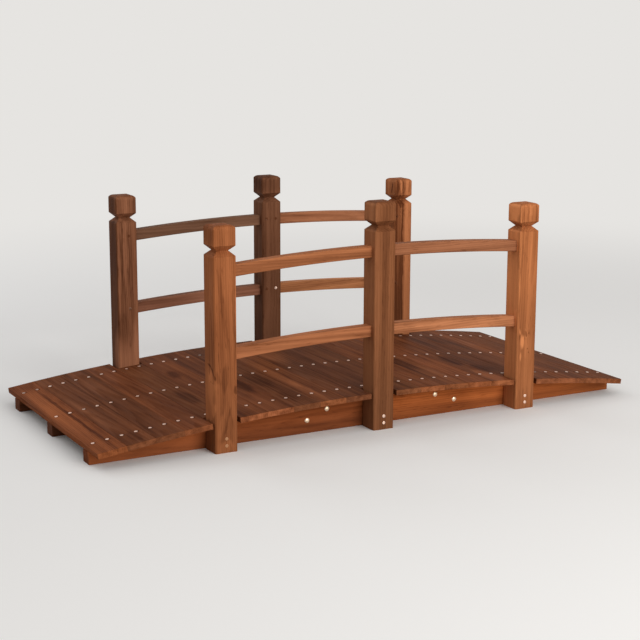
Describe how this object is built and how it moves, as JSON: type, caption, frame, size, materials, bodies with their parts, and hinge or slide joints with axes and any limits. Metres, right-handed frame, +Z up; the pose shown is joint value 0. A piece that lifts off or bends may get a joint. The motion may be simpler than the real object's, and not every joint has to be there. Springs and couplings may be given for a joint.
{
  "type": "wooden garden footbridge",
  "caption": "Low arched timber footbridge with a slatted deck on flat-bottomed bearers, grooved square posts and curved double rails along both sides.",
  "frame": {"origin": "middle of the footprint, on the level ground that the posts and bearers stand on", "axes": "+X along the bridge, +Y across it from the front railing to the back railing, +Z up"},
  "size_m": [1.4812, 0.67, 0.5625],
  "materials": {
    "stained_post_fir": "planed fir, red-brown stain, satin",
    "stained_rail_fir": "planed fir cut to a curve, red-brown stain, satin",
    "stained_deck_fir": "planed fir, darker red-brown stain, satin, screwed down",
    "stained_bearer_fir": "planed fir, red-brown stain, satin"
  },
  "bodies": {
    "root": {"slat_01": "stained_deck_fir", "slat_02": "stained_deck_fir", "slat_03": "stained_deck_fir", "slat_04": "stained_deck_fir", "slat_05": "stained_deck_fir", "slat_06": "stained_deck_fir", "slat_07": "stained_deck_fir", "slat_08": "stained_deck_fir", "slat_09": "stained_deck_fir", "slat_10": "stained_deck_fir", "slat_11": "stained_deck_fir", "slat_12": "stained_deck_fir", "slat_13": "stained_deck_fir", "slat_14": "stained_deck_fir", "slat_15": "stained_deck_fir", "slat_16": "stained_deck_fir", "slat_17": "stained_deck_fir", "slat_18": "stained_deck_fir", "slat_19": "stained_deck_fir", "slat_20": "stained_deck_fir", "slat_21": "stained_deck_fir", "bearer_front_left": "stained_bearer_fir", "bearer_front_right": "stained_bearer_fir", "bearer_centre_left": "stained_bearer_fir", "bearer_centre_right": "stained_bearer_fir", "bearer_back_left": "stained_bearer_fir", "bearer_back_right": "stained_bearer_fir", "splice_board_front": "stained_bearer_fir", "splice_board_centre": "stained_bearer_fir", "splice_board_back": "stained_bearer_fir", "post_front_left": "stained_post_fir", "post_front_middle": "stained_post_fir", "post_front_right": "stained_post_fir", "post_back_left": "stained_post_fir", "post_back_middle": "stained_post_fir", "post_back_right": "stained_post_fir", "rail_front_top_left": "stained_rail_fir", "rail_front_top_right": "stained_rail_fir", "rail_front_middle_left": "stained_rail_fir", "rail_front_middle_right": "stained_rail_fir", "rail_back_top_left": "stained_rail_fir", "rail_back_top_right": "stained_rail_fir", "rail_back_middle_left": "stained_rail_fir", "rail_back_middle_right": "stained_rail_fir"}
  },
  "joints": []
}
